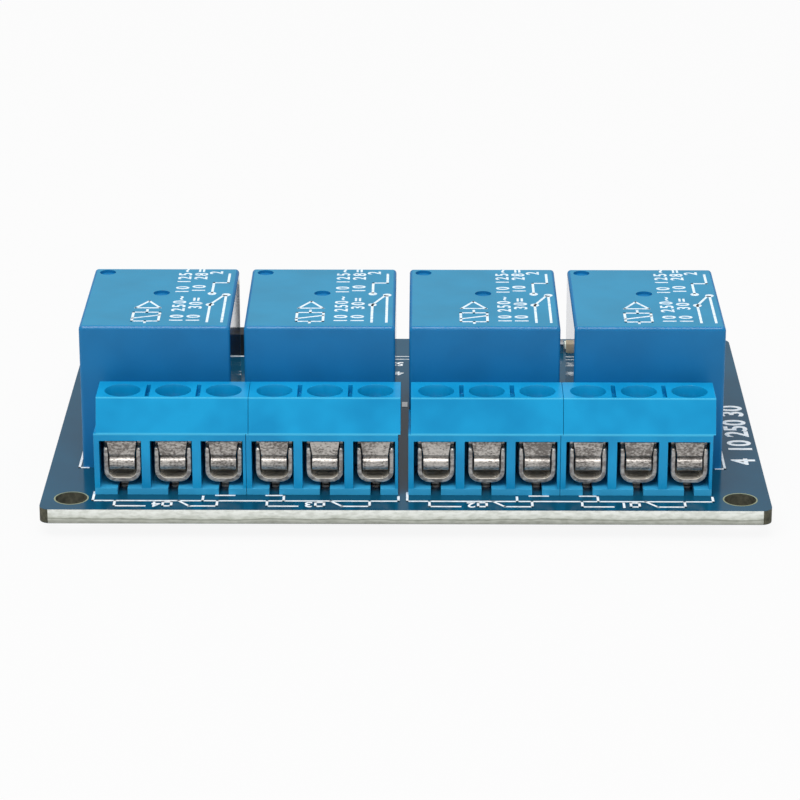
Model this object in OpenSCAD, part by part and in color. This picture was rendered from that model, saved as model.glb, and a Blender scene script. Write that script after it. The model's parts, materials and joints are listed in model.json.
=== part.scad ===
// Four-channel relay module board: screw terminals in front, sealed relays behind them,
// and the opto-isolated input side at the back. Millimetres, +Z up, +Y towards the pin headers.
// The origin is under the middle of the board, at the tips of the soldered leads it stands on.

/* [Board] */
// Width of the circuit board
pcb_w = 73; // [72:0.5:80]
// Depth of the circuit board
pcb_d = 52; // [51:0.5:58]
// Thickness of the laminate
pcb_t = 1.5; // [1:0.1:2]
// Radius of the board's corners
pcb_corner_r = 1.1; // [0.5:0.1:2]
// Diameter of the four mounting holes
mount_hole_d = 3.2; // [2.5:0.1:3.4]
// Distance of a mounting hole's centre from both edges
mount_hole_inset = 3; // [2.6:0.1:3.2]
// How far the soldered leads stand out under the board
lead_proud = 1.6; // [1:0.1:2.4]
// Width of the solder round a plated hole, where it meets the board
pad_ring = 0.42; // [0.35:0.01:0.5]
// Width of the solder round a lead's tip
tip_ring = 0.25; // [0.15:0.01:0.3]
// Extra diameter of a plated hole over the lead's diagonal
hole_extra = 0.2; // [0.1:0.05:0.4]

/* [Screw terminals] */
// Distance between neighbouring poles
pole_pitch = 5.08; // [5:0.01:5.2]
// Clear gap between the two rows of six poles
row_gap = 0.99; // [0.5:0.01:1.4]
// Distance of the terminals' front face from the board's front edge
term_setback = 4; // [3.5:0.1:5]
// Depth of a terminal block, front to back
term_d = 7.2; // [7:0.1:8]
// Height of a terminal block
term_h = 10; // [9.6:0.1:11]
// Height at which the front face starts to lean back
term_break_h = 6.5; // [6.3:0.1:7]
// How far the front face leans back at the top
term_lean = 1.1; // [0.6:0.1:1.4]
// How far the back face leans in at the top
term_back_lean = 1.4; // [0.6:0.1:1.6]
// Height of the part of the back face that leans in
term_back_lean_h = 1.8; // [1:0.1:2.2]
// How far the lower body of a block laps over its left neighbour
term_lap = 0.25; // [0.1:0.05:0.4]
// Gap between neighbouring blocks in a row
term_joint = 0.04; // [0.02:0.01:0.1]
// Width of a wire entry
entry_w = 4.2; // [4:0.05:4.4]
// Height of a wire entry's sill over the board
entry_sill_h = 0.7; // [0.5:0.1:1]
// Height of a wire entry's top edge over the board
entry_top_h = 5.75; // [5.4:0.05:6]
// Thickness of the wall above a wire entry
entry_wall = 1.15; // [1:0.05:1.3]
// Thickness of a block's back wall
term_back_wall = 0.9; // [0.7:0.1:1.2]
// Thickness of a block's roof
term_roof = 2.1; // [1.8:0.1:2.3]
// Width of the slot for the solder leg in a wire entry's sill
leg_slot_w = 1; // [0.9:0.05:1.3]
// Diameter of a screwdriver hole in the roof
driver_hole_d = 3.6; // [3.5:0.05:4]
// Distance of the screws from the front face
screw_setback = 3.2; // [3:0.1:3.4]
// Width of the notch between two poles in the roof
notch_w = 0.42; // [0.3:0.02:0.6]
// Length of that notch
notch_l = 3.5; // [2:0.1:4]
// Depth of that notch
notch_depth = 0.9; // [0.4:0.1:1.4]

/* [Clamps] */
// Width of a clamp cage over its sides
cage_w = 3.7; // [3.5:0.05:3.75]
// Length of a clamp cage, front to back
cage_l = 4.8; // [4.4:0.1:5]
// Distance of a cage's front edge from the front face
cage_setback = 0.6; // [0.55:0.05:0.8]
// Thickness of the cage's strip
cage_t = 0.45; // [0.4:0.05:0.6]
// Height of the cage's underside over the board
cage_floor_h = 1.15; // [1:0.05:1.3]
// Height of the cage's top over the board
cage_top_h = 6.8; // [6.6:0.05:6.9]
// Thickness of the cage's threaded top plate
cage_plate_t = 0.9; // [0.7:0.1:1]
// Outer radius of the cage's lower corners
cage_corner_r = 1.25; // [1:0.05:1.4]
// Height at which the front corners of the cage's sides start
cage_ear_h = 4.9; // [4.6:0.1:5.2]
// How far the cage's top steps back above that height
cage_ear_step = 0.95; // [0.9:0.05:1.1]
// Rounding of those corners
cage_ear_r = 0.45; // [0.2:0.05:0.6]
// Width of the solder leg
leg_w = 0.8; // [0.6:0.05:0.85]
// Thickness of the solder leg
leg_t = 0.7; // [0.5:0.05:0.8]
// Width of the wire guard's lip and of its apron's lower end
guard_w = 2.55; // [2.4:0.05:2.65]
// Width of the apron's upper end
guard_shelf_w = 3; // [2.7:0.05:3.2]
// Width of the wire guard's tongue, which lies on the cage
guard_tongue_w = 3.5; // [3.3:0.05:3.6]
// Thickness of the wire guard's strip
guard_t = 0.22; // [0.18:0.02:0.24]
// Distance of the guard's front from the front face
guard_setback = 0.3; // [0.28:0.01:0.32]
// Height of the shelf where the guard comes forward into the wire entry
guard_shelf_h = 5.62; // [5.4:0.02:5.7]
// Height at which the guard's flat part ends
guard_bend_h = 4.2; // [4.1:0.05:4.4]
// Radius of the guard's rolled lip, outside
lip_r = 0.78; // [0.7:0.02:0.85]
// Height of the centre of the rolled lip
lip_h = 3.15; // [3.1:0.05:3.3]
// How far the rolled lip stands in front of the guard's flat part
lip_proud = 0.05; // [0:0.01:0.08]
// Major diameter of the clamp screw
screw_d = 2.5; // [2.3:0.1:2.6]
// Diameter of the screw's head
screw_head_d = 3.3; // [3:0.05:3.4]
// Height of the screw's head
screw_head_h = 1.25; // [1:0.05:1.5]
// Chamfer round the top of the screw's head
screw_chamfer = 0.2; // [0.1:0.05:0.3]
// Length of the screw under its head
screw_l = 2.7; // [2.2:0.1:2.9]
// Width of the driver slot
driver_slot_w = 0.55; // [0.4:0.05:0.7]
// Depth of the driver slot
driver_slot_depth = 0.6; // [0.4:0.05:0.8]
// Running clearance of the screw in the cage's thread
thread_gap = 0.05; // [0.03:0.01:0.08]
// Gap between pieces that lie on each other but can move
seat_gap = 0.03; // [0.02:0.01:0.05]

/* [Relays] */
// Distance between neighbouring relays
relay_pitch = 16.72; // [16.2:0.02:17.2]
// How far the bank of relays sits left of the board's middle
relay_bank_shift = 0.4; // [0:0.1:1]
// Gap between the terminal blocks and the relays
relay_gap = 0.3; // [0.2:0.1:1]
// Width of a relay
relay_w = 15.3; // [15:0.1:15.6]
// Length of a relay, front to back
relay_l = 19.1; // [18.8:0.1:19.6]
// Height of a relay over the board
relay_h = 15.3; // [15:0.1:16]
// Wall of the relay's case
case_wall = 0.8; // [0.6:0.05:0.9]
// Roof of the relay's case
case_roof = 0.9; // [0.7:0.05:1.1]
// Rounding of the case's upright edges
case_edge_r = 0.3; // [0.2:0.05:0.6]
// Rounding of the edges round the case's roof
case_top_r = 0.4; // [0.2:0.05:0.6]
// Diameter of the two round marks in the case's roof
case_mark_d = 1.7; // [1.4:0.1:2]
// Distance of the middle mark behind the relay's middle
middle_mark_y = 1.2; // [0:0.1:2]
// Distance of the corner mark from the relay's left side and its back
corner_mark_inset = 1.45; // [1.3:0.05:1.8]
// Depth of those marks
case_mark_depth = 0.3; // [0.1:0.05:0.4]
// Thickness of the relay's base
base_t = 1.8; // [1.5:0.1:2]
// Height of the base's underside over the board
base_lift = 0.4; // [0.3:0.05:0.6]
// Gap between base and case wall
base_gap = 0.05; // [0.03:0.01:0.08]
// Distance between the two coil leads, and between the two outer contact leads
relay_lead_span = 12; // [11.8:0.1:12.2]
// Distance from the common lead to the coil leads
com_to_coil = 2; // [1.8:0.1:2.2]
// Distance from the common lead to the outer contact leads
com_to_contacts = 14.2; // [14:0.1:14.4]
// Distance of the fixed contacts' middle behind their leads
contact_set = 0.2; // [0.1:0.05:0.3]
// Width of the coil leads
coil_lead_w = 0.6; // [0.5:0.05:0.7]
// Width of the contact leads
contact_lead_w = 1; // [0.8:0.05:1.1]
// How far the coil leads rise over the base
coil_lead_rise = 2; // [1.5:0.1:2.5]
// Thickness of the yoke and of its foot
yoke_t = 1.2; // [1:0.1:1.4]
// Width of the yoke
yoke_w = 8.4; // [7:0.1:9]
// Diameter of the core
core_d = 3.4; // [3:0.1:3.6]
// Diameter of the core's riveted end in the yoke's foot
rivet_d = 2.4; // [2:0.1:2.6]
// Diameter of the core's pole face
pole_face_d = 5.6; // [5:0.1:6.4]
// Thickness of the core's pole face
pole_face_t = 0.65; // [0.5:0.05:0.8]
// Width of the coil's square flanges
flange_w = 9.2; // [8.6:0.1:9.6]
// Thickness of the coil's flanges
flange_t = 0.75; // [0.6:0.05:0.9]
// Gap between the coil's flanges and the yoke
coil_gap = 1; // [0.6:0.1:1.2]
// Outer diameter of the winding
winding_d = 8.4; // [7.6:0.1:8.5]
// Wall of the bobbin's tube
bobbin_wall = 0.7; // [0.5:0.05:0.9]
// Thickness of the armature
armature_t = 0.8; // [0.7:0.05:1]
// Width of the armature
armature_w = 7.8; // [7:0.1:8.4]
// How far the armature reaches past the pole face
armature_reach = 1; // [0.6:0.1:1.2]
// Angle by which the armature stands open with no current
armature_open = 4; // [3:0.1:4.2]
// Thickness of the contact leaf
leaf_t = 0.2; // [0.15:0.01:0.25]
// Width of the contact leaf
leaf_w = 3.6; // [3:0.1:4.4]
// How far the contact leaf reaches past its button
leaf_reach = 0.2; // [0.1:0.05:0.2]
// Diameter of the contact buttons
button_d = 2; // [1.6:0.1:2.2]
// Height of the contact buttons
button_h = 0.45; // [0.35:0.05:0.5]
// Thickness of the fixed contact strips
strip_t = 0.4; // [0.3:0.05:0.5]
// Width of the fixed contact strips
strip_w = 2.2; // [2:0.1:2.4]
// Diameter of the rivet between the two buttons of the leaf
button_rivet_d = 1; // [0.8:0.1:1.2]
// Gap between the upper contact strip and the case's roof
strip_headroom = 0.25; // [0.15:0.05:0.3]
// Gap between the common strip's top and the armature
com_strip_gap = 0.6; // [0.5:0.05:0.8]
// Gap left between closed contacts and over the closed pole face
contact_gap = 0.08; // [0.06:0.01:0.1]

/* [Input side] */
// Pin pitch of both headers
header_pitch = 2.54; // [2.5:0.01:2.6]
// Width and height of a header's plastic strip
header_w = 2.5; // [2.4:0.02:2.54]
// Thickness of a header's square pins
pin_w = 0.64; // [0.6:0.01:0.7]
// How far the pins stand up over the header's plastic
pin_free_l = 6; // [5.5:0.1:7]
// Distance of both headers' pins from the board's back edge
header_setback = 4.55; // [4:0.05:5]
// Distance of the six-pin header's outermost pin from the board's left edge
input_header_inset = 14.75; // [13:0.05:16]
// Distance of the three-pin header's outermost pin from the board's right edge
supply_header_inset = 9.9; // [9:0.05:12]
// Width of the pins' pointed tops
pin_tip_w = 0.2; // [0.1:0.05:0.3]
// Height of the pins' pointed tops
pin_tip_l = 0.4; // [0.3:0.05:0.6]
// Chamfer between the cells of a header's plastic strip
cell_chamfer = 0.35; // [0.2:0.05:0.5]
// Height of the jumper cap
jumper_h = 5.6; // [5:0.1:6]
// Depth of the jumper cap
jumper_d = 2.4; // [2.2:0.1:2.5]
// Thickness of the jumper's clip
clip_t = 0.2; // [0.15:0.01:0.25]
// Depth of the jumper's clip under its top face
clip_depth = 1.4; // [1:0.1:1.8]
// Height of the jumper's clip over its lower edge
clip_lift = 0.6; // [0.4:0.1:1]
// Length of an optocoupler's body
opto_l = 6.4; // [6.2:0.1:6.6]
// Width of an optocoupler's body
opto_w = 4.6; // [4.4:0.1:4.8]
// Height of an optocoupler's body
opto_h = 3; // [2.6:0.1:3.2]
// Height of an optocoupler's underside over the board
opto_lift = 0.5; // [0.4:0.05:0.7]
// Distance between an optocoupler's two rows of leads
opto_row_span = 7.62; // [7.5:0.02:7.7]
// Width of an optocoupler's leads
opto_lead_w = 0.5; // [0.4:0.05:0.6]
// Thickness of an optocoupler's leads
opto_lead_t = 0.3; // [0.2:0.05:0.35]
// Width of those leads at the shoulder
opto_shoulder_w = 1.2; // [1:0.1:1.4]
// Diameter of the round mark beside an optocoupler's first lead
opto_mark_d = 0.8; // [0.6:0.1:1]
// Depth of that mark
opto_mark_depth = 0.2; // [0.1:0.05:0.3]
// Distance of that mark from the body's sides
opto_mark_inset = 1; // [0.8:0.1:1.4]
// Distance from the relays to the middle of the transistors and diodes
driver_gap = 2.9; // [2.6:0.1:3.2]
// Distance from the transistors to the optocouplers' middle
opto_offset = 3.4; // [3:0.1:3.8]
// Place of the transistors left of a relay's middle
transistor_left = 6.2; // [6:0.1:6.4]
// Place of the optocouplers left of a relay's middle
opto_left = 1.9; // [1.7:0.1:2.1]
// Place of the diodes right of a relay's middle
diode_right = 2.7; // [2.6:0.1:2.8]
// Place of the chips right of a relay's middle
chip_right = 6.2; // [6:0.1:6.4]
// Length of a transistor's body
transistor_l = 2.9; // [2.7:0.1:3.1]
// Width of a transistor's body
transistor_w = 1.3; // [1.2:0.05:1.4]
// Height of a transistor's body
transistor_h = 1; // [0.9:0.05:1.1]
// Reach of a transistor over its leads
transistor_span = 2.4; // [2.2:0.05:2.6]
// Distance from a transistor's middle to its outer leads
transistor_pitch = 0.95; // [0.9:0.01:1]
// Width of a transistor's leads
transistor_lead_w = 0.4; // [0.3:0.05:0.5]
// Length of a diode's body
diode_l = 2.7; // [2.5:0.1:2.9]
// Width of a diode's body
diode_w = 1.6; // [1.4:0.1:1.8]
// Height of a diode's body
diode_h = 1.1; // [0.9:0.05:1.3]
// Reach of a diode over its leads
diode_span = 3.7; // [3.5:0.1:3.9]
// Width of a diode's leads
diode_lead_w = 0.6; // [0.5:0.05:0.7]
// Thickness of the leads that are soldered flat on the board
gull_t = 0.12; // [0.1:0.01:0.15]
// Height of those bodies' undersides over the board
gull_lift = 0.1; // [0.05:0.01:0.15]
// Length of a chip resistor or light-emitting diode
chip_l = 2; // [1.8:0.1:2.1]
// Width of a chip
chip_w = 1.25; // [1.1:0.05:1.3]
// Height of a chip resistor
resistor_h = 0.5; // [0.4:0.05:0.6]
// Height of a chip light-emitting diode
led_h = 0.8; // [0.6:0.05:1]
// Length of a chip's soldered ends
chip_end = 0.4; // [0.3:0.05:0.5]
// How far a chip's ends stand out round its body
chip_end_proud = 0.03; // [0.02:0.01:0.05]
// Distance between the rows of chips beside an optocoupler
chip_row = 2.1; // [1.9:0.1:2.4]
// Distance of the power light from the supply header's first pin
power_led_gap = 3.2; // [3:0.1:3.6]
// Distance of the power light behind the header's line
power_led_back = 1.2; // [1:0.1:1.6]

/* [Hidden] */
// Three poles to a block, and two blocks to a row
block_poles = 3;
pole_count = 12;
row_poles = pole_count / 2;
block_places = [-1, 0, 1];
relay_count = 4;
input_pin_count = 6;
supply_pin_count = 3;

// Heights of the board's two faces
z_under = lead_proud;
z_board = lead_proud + pcb_t;

// Lines across the board, from front to back
y_front = -pcb_d / 2;
y_back = pcb_d / 2;
y_term = y_front + term_setback;
y_screw = y_term + screw_setback;
y_relay = y_term + term_d + relay_gap + relay_l / 2;
y_driver = y_relay + relay_l / 2 + driver_gap;
y_opto = y_driver + opto_offset;
y_header = y_back - header_setback;

// Heights over the board inside a terminal block and its clamp
chamber_top_h = term_h - term_roof;
guard_top_h = cage_top_h + seat_gap + guard_t;
screw_head_floor_h = guard_top_h + seat_gap;

// A relay's inside, measured from the middle of its footprint and from the board
case_in_x = relay_w / 2 - case_wall;
case_in_y = relay_l / 2 - case_wall;
base_top_h = base_lift + base_t;
// The works lie in the middle of the case, with equal room behind the common lead
// and before the fixed contacts
com_lead_y = (com_to_contacts - contact_set + strip_w / 2 - strip_t / 2) / 2;
yoke_back_y = com_lead_y - strip_t / 2;
yoke_front_y = yoke_back_y - yoke_t;
coil_lead_y = com_lead_y - com_to_coil;
contact_lead_y = com_lead_y - com_to_contacts;
coil_y = yoke_front_y - flange_w / 2 - coil_gap;
hinge_y = yoke_back_y - yoke_t / 2;
contact_y = contact_lead_y + contact_set;
contact_lift = (hinge_y - contact_y) * sin(armature_open);
upper_strip_h = relay_h - case_roof - strip_headroom - strip_t;
leaf_top_h = upper_strip_h - 2 * button_h - contact_gap - contact_lift;
armature_h = leaf_top_h - leaf_t - armature_t;
pole_face_h = armature_h - contact_gap;
lower_strip_h = leaf_top_h - leaf_t - 2 * button_h - contact_gap - strip_t;
core_gap = 0.05;

// Room round a relay's lead in its base
lead_fit = 0.02;

// The rolled lip's arc starts and ends at these angles, and has this many steps
lip_from = 125;
lip_to = 265;
lip_steps = 14;

// The first screw's slot stands at this angle, and each next one is turned further by the step
first_slot_angle = 25;
slot_angle_step = 47;

// A cut runs past the faces that it opens by this much, and joined pieces overlap by the other
past = 1;
tiny = 0.01;

// ---- Places ----

// Poles run 0 to 11 from left to right, with the gap between the rows after the sixth
function pole_x(i) =
    let (side = i < row_poles ? -1 : 1, k = i < row_poles ? row_poles - 1 - i : i - row_poles)
    side * (row_gap / 2 + pole_pitch * (k + 0.5));

// Blocks and relays run 0 to 3 from left to right
function block_x(i) = pole_x(i * block_poles + 1);
function relay_x(i) = (i - (relay_count - 1) / 2) * relay_pitch - relay_bank_shift;
function input_pin_x(i) = -pcb_w / 2 + input_header_inset + i * header_pitch;
function supply_pin_x(i) = pcb_w / 2 - supply_header_inset - (supply_pin_count - 1 - i) * header_pitch;
function opto_x(i) = relay_x(i) - opto_left;

// Every soldered lead as [x, y, width in x, thickness in y]
term_leads = [for (i = [0:pole_count - 1]) [pole_x(i), y_screw, leg_w, leg_t]];
relay_leads = [for (i = [0:relay_count - 1]) each concat(
    [[relay_x(i), y_relay + com_lead_y, contact_lead_w, strip_t]],
    [for (s = [-1, 1]) [relay_x(i) + s * relay_lead_span / 2, y_relay + coil_lead_y,
                        coil_lead_w, coil_lead_w]],
    [for (s = [-1, 1]) [relay_x(i) + s * relay_lead_span / 2, y_relay + contact_lead_y,
                        contact_lead_w, strip_t]])];
opto_leads = [for (i = [0:relay_count - 1], sx = [-1, 1], sy = [-1, 1])
    [opto_x(i) + sx * header_pitch / 2, y_opto + sy * opto_row_span / 2, opto_lead_w, opto_lead_t]];
header_leads = concat([for (i = [0:input_pin_count - 1]) [input_pin_x(i), y_header, pin_w, pin_w]],
                      [for (i = [0:supply_pin_count - 1]) [supply_pin_x(i), y_header, pin_w, pin_w]]);
leads = concat(term_leads, relay_leads, opto_leads, header_leads);

function lead_d(lead) = norm([lead[2], lead[3]]);
function lead_hole_d(lead) = lead_d(lead) + hole_extra;

// ---- Helpers ----

// A box centred in x and y that stands on z = 0
module slab(size, z = 0) {
    translate([-size[0] / 2, -size[1] / 2, z]) cube(size);
}

// A box given by its two opposite corners
module span(low, high) {
    translate(low) cube(high - low);
}

// A rectangle centred on the origin with true arcs at its corners
module rounded_plate(w, d, r) {
    square([w - 2 * r, d], center = true);
    square([w, d - 2 * r], center = true);
    for (sx = [-1, 1], sy = [-1, 1])
        translate([sx * (w / 2 - r), sy * (d / 2 - r)]) circle(r, $fn = 48);
}

// Extrudes an outline drawn in (y, z) across x, centred on x = 0
module across(w) {
    rotate([90, 0, 90]) translate([0, 0, -w / 2]) linear_extrude(w) children();
}

// Extrudes an outline drawn in (x, z) backwards from y = 0
module backwards(l) {
    translate([0, l, 0]) rotate([90, 0, 0]) linear_extrude(l) children();
}

// Points on an arc about (cy, cz)
function arc(cy, cz, r, from, to, steps) =
    [for (k = [0:steps]) let (a = from + (to - from) * k / steps) [cy + r * cos(a), cz + r * sin(a)]];

// ---- Board ----

module pcb() {
    color("#1a5178") difference() {
        translate([0, 0, z_under]) linear_extrude(pcb_t) rounded_plate(pcb_w, pcb_d, pcb_corner_r);
        for (sx = [-1, 1], sy = [-1, 1])
            translate([sx * (pcb_w / 2 - mount_hole_inset), sy * (pcb_d / 2 - mount_hole_inset), 0])
                cylinder(d = mount_hole_d, h = 2 * z_board, $fn = 64);
        for (lead = leads)
            translate([lead[0], lead[1], 0])
                cylinder(d = lead_hole_d(lead), h = 2 * z_board, $fn = 24);
    }
}

// Each joint is a cone of solder round its lead, as wide as the pad under the board
module solder_joints() {
    color("#c9ccd0") for (lead = leads)
        translate([lead[0], lead[1], 0]) difference() {
            cylinder(r1 = lead_d(lead) / 2 + tip_ring, r2 = lead_hole_d(lead) / 2 + pad_ring,
                     h = z_under, $fn = 24);
            slab([lead[2], lead[3], 2 * z_under], -tiny);
        }
}

// ---- Screw terminals ----

// Side view of a block between two heights, as (y, z) from its front lower edge
module block_side(from, to) {
    intersection() {
        polygon([[0, 0], [0, term_break_h], [term_lean, term_h], [term_d - term_back_lean, term_h],
                 [term_d, term_h - term_back_lean_h], [term_d, 0]]);
        translate([0, from]) square([term_d, to - from]);
    }
}

// The room for one clamp, with its wire entry, leg slot and screwdriver hole
module pole_cut() {
    translate([-term_lap / 2, 0, 0]) {
        span([-entry_w / 2, -past, entry_sill_h], [entry_w / 2, entry_wall + tiny, entry_top_h]);
        span([-entry_w / 2, entry_wall, entry_sill_h],
             [entry_w / 2, term_d - term_back_wall, chamber_top_h]);
    }
    span([-leg_slot_w / 2, -past, -past], [leg_slot_w / 2, screw_setback + leg_t, entry_sill_h + tiny]);
    translate([0, screw_setback, chamber_top_h - tiny])
        cylinder(d = driver_hole_d, h = term_roof + past, $fn = 48);
}

module terminal_block(i) {
    block_w = block_poles * pole_pitch - term_joint;
    color("#2496d2") translate([block_x(i), y_term, z_board]) difference() {
        union() {
            translate([-term_lap, 0, 0]) across(block_w) block_side(0, term_break_h);
            across(block_w) block_side(term_break_h, term_h);
        }
        for (k = block_places) translate([k * pole_pitch, 0, 0]) pole_cut();
        for (s = [-1, 1]) translate([s * pole_pitch / 2, screw_setback, term_h - notch_depth])
            slab([notch_w, notch_l, 2 * notch_depth]);
    }
}

// ---- Clamps ----

// Front view of the cage as (x, z): round lower corners, square top
module cage_front(w, low, top, r) {
    translate([-w / 2, low + r]) square([w, top - low - r]);
    translate([-w / 2 + r, low]) square([w - 2 * r, r + tiny]);
    for (s = [-1, 1]) translate([s * (w / 2 - r), low + r]) circle(r, $fn = 40);
}

// What is cut off the cage's front corners, as (y, z)
module ear_rounding() {
    difference() {
        translate([-past, cage_ear_h - cage_ear_r]) square([cage_ear_r + past, cage_ear_r + past]);
        translate([cage_ear_r, cage_ear_h - cage_ear_r]) circle(cage_ear_r, $fn = 40);
    }
}

module cage() {
    difference() {
        backwards(cage_l) difference() {
            cage_front(cage_w, cage_floor_h, cage_top_h, cage_corner_r);
            cage_front(cage_w - 2 * cage_t, cage_floor_h + cage_t, cage_top_h - cage_plate_t,
                       cage_corner_r - cage_t);
        }
        span([-cage_w, -past, cage_ear_h], [cage_w, cage_ear_step, cage_top_h + past]);
        across(2 * cage_w) ear_rounding();
        translate([0, screw_setback - cage_setback, cage_floor_h + cage_t + past])
            cylinder(r = screw_d / 2 + thread_gap, h = cage_top_h, $fn = 40);
    }
    translate([0, screw_setback - cage_setback, -z_board])
        slab([leg_w, leg_t, z_board + cage_floor_h + tiny]);
}

module clamp_cages(i) {
    color("#b9b7b2") for (k = block_places)
        translate([block_x(i) + k * pole_pitch, y_term + cage_setback, z_board]) cage();
}

// Side view of the guard as (y, z): down behind the front wall, forward into the wire entry,
// then a flat apron that ends in a rolled lip
module guard_side() {
    back = entry_wall + seat_gap;
    front = guard_setback;
    lip_y = front - lip_proud + lip_r;
    outer = arc(lip_y, lip_h, lip_r, lip_from, lip_to, lip_steps);
    inner = arc(lip_y, lip_h, lip_r - guard_t, lip_to, lip_from, lip_steps);
    polygon(concat(
        [[back + guard_t, guard_top_h], [back, guard_top_h], [back, guard_shelf_h],
         [front, guard_shelf_h], [front, guard_bend_h]],
        outer, inner,
        [[front + guard_t, guard_bend_h], [front + guard_t, guard_shelf_h - guard_t],
         [back + guard_t, guard_shelf_h - guard_t]]));
}

// Front view of the guard as (x, z): its apron narrows down to the lip
module guard_front() {
    polygon([[-guard_w / 2, 0], [-guard_w / 2, guard_bend_h], [-guard_shelf_w / 2, guard_shelf_h],
             [-guard_shelf_w / 2, guard_top_h], [guard_shelf_w / 2, guard_top_h],
             [guard_shelf_w / 2, guard_shelf_h], [guard_w / 2, guard_bend_h], [guard_w / 2, 0]]);
}

module wire_guards(i) {
    back = entry_wall + seat_gap;
    color("#cfcdc8") for (k = block_places)
        translate([block_x(i) + k * pole_pitch, y_term, z_board]) {
            intersection() {
                across(guard_shelf_w) guard_side();
                backwards(term_d) guard_front();
            }
            difference() {
                span([-guard_tongue_w / 2, back, guard_top_h - guard_t],
                     [guard_tongue_w / 2, screw_setback + screw_head_d / 2, guard_top_h]);
                translate([0, screw_setback, cage_top_h - past])
                    cylinder(r = screw_d / 2 + 2 * thread_gap, h = 2 * past, $fn = 40);
            }
        }
}

// A clamp screw, its slot turned a little further on each pole
module clamp_screw(i) {
    color("#c8c9cc")
        translate([pole_x(i), y_screw, z_board + screw_head_floor_h])
            rotate([0, 0, first_slot_angle + slot_angle_step * i]) difference() {
                union() {
                    cylinder(d = screw_head_d, h = screw_head_h - screw_chamfer, $fn = 48);
                    translate([0, 0, screw_head_h - screw_chamfer])
                        cylinder(d1 = screw_head_d, d2 = screw_head_d - 2 * screw_chamfer,
                                 h = screw_chamfer, $fn = 48);
                    translate([0, 0, -screw_l]) cylinder(d = screw_d, h = screw_l + tiny, $fn = 40);
                }
                slab([driver_slot_w, screw_head_d + past, 2 * driver_slot_depth],
                     screw_head_h - driver_slot_depth);
            }
}

// ---- Relays ----

module at_relay(i) {
    translate([relay_x(i), y_relay, z_board]) children();
}

module relay_case(i) {
    color("#1c6f9f") at_relay(i) difference() {
        hull() for (sx = [-1, 1], sy = [-1, 1]) {
            translate([sx * (relay_w / 2 - case_edge_r), sy * (relay_l / 2 - case_edge_r), 0])
                cylinder(r = case_edge_r, h = relay_h - case_top_r, $fn = 24);
            translate([sx * (relay_w / 2 - case_top_r), sy * (relay_l / 2 - case_top_r),
                       relay_h - case_top_r])
                sphere(case_top_r, $fn = 24);
        }
        slab([2 * case_in_x, 2 * case_in_y, relay_h - case_roof + past], -past);
        for (p = [[0, middle_mark_y],
                  [corner_mark_inset - relay_w / 2, relay_l / 2 - corner_mark_inset]])
            translate([p[0], p[1], relay_h - case_mark_depth])
                cylinder(d = case_mark_d, h = past, $fn = 32);
    }
}

// The base, with a close slot for each of the five leads
module relay_base(i) {
    color("#2a3034") at_relay(i) difference() {
        slab([2 * (case_in_x - base_gap), 2 * (case_in_y - base_gap), base_t], base_lift);
        lead_slot(0, com_lead_y, contact_lead_w, strip_t);
        for (s = [-1, 1]) {
            lead_slot(s * relay_lead_span / 2, coil_lead_y, coil_lead_w, coil_lead_w);
            lead_slot(s * relay_lead_span / 2, contact_lead_y, contact_lead_w, strip_t);
        }
    }
}

module lead_slot(x, y, w, t) {
    translate([x, y, 0]) slab([w + 2 * lead_fit, t + 2 * lead_fit, base_top_h + past]);
}

// The bent yoke, and the core riveted in its foot
module relay_yoke(i) {
    foot_front_y = coil_y - core_d;
    color("#9a9d9f") at_relay(i) {
        difference() {
            union() {
                span([-yoke_w / 2, yoke_front_y, base_top_h],
                     [yoke_w / 2, yoke_back_y, armature_h - contact_gap]);
                span([-yoke_w / 2, foot_front_y, base_top_h],
                     [yoke_w / 2, yoke_back_y, base_top_h + yoke_t]);
            }
            translate([0, coil_y, 0])
                cylinder(d = rivet_d + 2 * core_gap, h = base_top_h + yoke_t + past, $fn = 40);
        }
        translate([0, coil_y, 0]) {
            translate([0, 0, base_top_h]) cylinder(d = rivet_d, h = yoke_t + tiny, $fn = 40);
            translate([0, 0, base_top_h + yoke_t])
                cylinder(d = core_d, h = pole_face_h - base_top_h - yoke_t, $fn = 40);
            translate([0, 0, pole_face_h - pole_face_t])
                cylinder(d = pole_face_d, h = pole_face_t, $fn = 48);
        }
    }
}

// The bobbin, and the winding between its flanges
module relay_coil(i) {
    low = base_top_h + yoke_t;
    top = pole_face_h - pole_face_t - core_gap;
    tube_d = core_d + 2 * core_gap + 2 * bobbin_wall;
    at_relay(i) translate([0, coil_y, 0]) {
        color("#e4ddcb") difference() {
            union() {
                slab([flange_w, flange_w, flange_t], low);
                slab([flange_w, flange_w, flange_t], top - flange_t);
                translate([0, 0, low]) cylinder(d = tube_d, h = top - low, $fn = 40);
            }
            translate([0, 0, low - past]) cylinder(d = core_d + 2 * core_gap, h = top, $fn = 40);
        }
        color("#b3622c") difference() {
            translate([0, 0, low + flange_t])
                cylinder(d = winding_d, h = top - low - 2 * flange_t, $fn = 48);
            cylinder(d = tube_d, h = relay_h, $fn = 40);
        }
    }
}

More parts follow.
